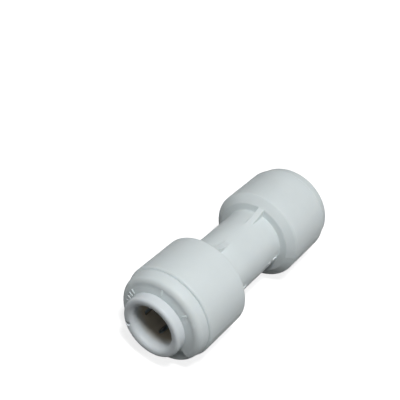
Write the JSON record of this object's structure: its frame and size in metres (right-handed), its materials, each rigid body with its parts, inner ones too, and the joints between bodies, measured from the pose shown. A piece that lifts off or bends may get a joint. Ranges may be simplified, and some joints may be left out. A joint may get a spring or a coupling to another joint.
{
  "type": "push fit coupling",
  "caption": "Straight push-fit tube coupling: a ribbed white plastic body with a welded cap, O-ring, spacer washer and toothed release collet at each end.",
  "frame": {"origin": "centre of the body, on the axis of the bore", "axes": "+X along the bore to the right end; the two ribs on the waist lie along +Z and -Z"},
  "size_m": [0.0374, 0.014, 0.014],
  "materials": {
    "body_white": "satin moulded polypropylene, cool white",
    "cap_white": "satin moulded polypropylene, cool white",
    "collet_white": "smooth moulded acetal, slightly bluish white",
    "washer_white": "moulded acetal, warm white",
    "seal_black": "lubricated EPDM rubber, black",
    "tooth_steel": "stamped stainless strip"
  },
  "bodies": {
    "housing": {"body": "body_white", "left_end_cap": "cap_white", "right_end_cap": "cap_white", "left_o_ring": "seal_black", "right_o_ring": "seal_black"},
    "left_washer": {"left_spacer_washer": "washer_white"},
    "right_washer": {"right_spacer_washer": "washer_white"},
    "left_release_collet": {"left_collet": "collet_white", "left_tooth_1": "tooth_steel", "left_tooth_2": "tooth_steel", "left_tooth_3": "tooth_steel", "left_tooth_4": "tooth_steel", "left_tooth_5": "tooth_steel", "left_tooth_6": "tooth_steel"},
    "right_release_collet": {"right_collet": "collet_white", "right_tooth_1": "tooth_steel", "right_tooth_2": "tooth_steel", "right_tooth_3": "tooth_steel", "right_tooth_4": "tooth_steel", "right_tooth_5": "tooth_steel", "right_tooth_6": "tooth_steel"}
  },
  "joints": [
    {"name": "left_spin", "type": "hinge", "parent": "housing", "child": "left_washer", "pos_m": [-0.0102, 0, 0], "axis": [1, 0, 0], "continuous": true},
    {"name": "left_collet_push", "type": "slide", "parent": "left_washer", "child": "left_release_collet", "axis": [1, 0, 0], "range_m": [-0.00135, 0.00007]},
    {"name": "right_spin", "type": "hinge", "parent": "housing", "child": "right_washer", "pos_m": [0.0102, 0, 0], "axis": [1, 0, 0], "continuous": true},
    {"name": "right_collet_push", "type": "slide", "parent": "right_washer", "child": "right_release_collet", "axis": [-1, 0, 0], "range_m": [-0.00135, 0.00007]}
  ]
}
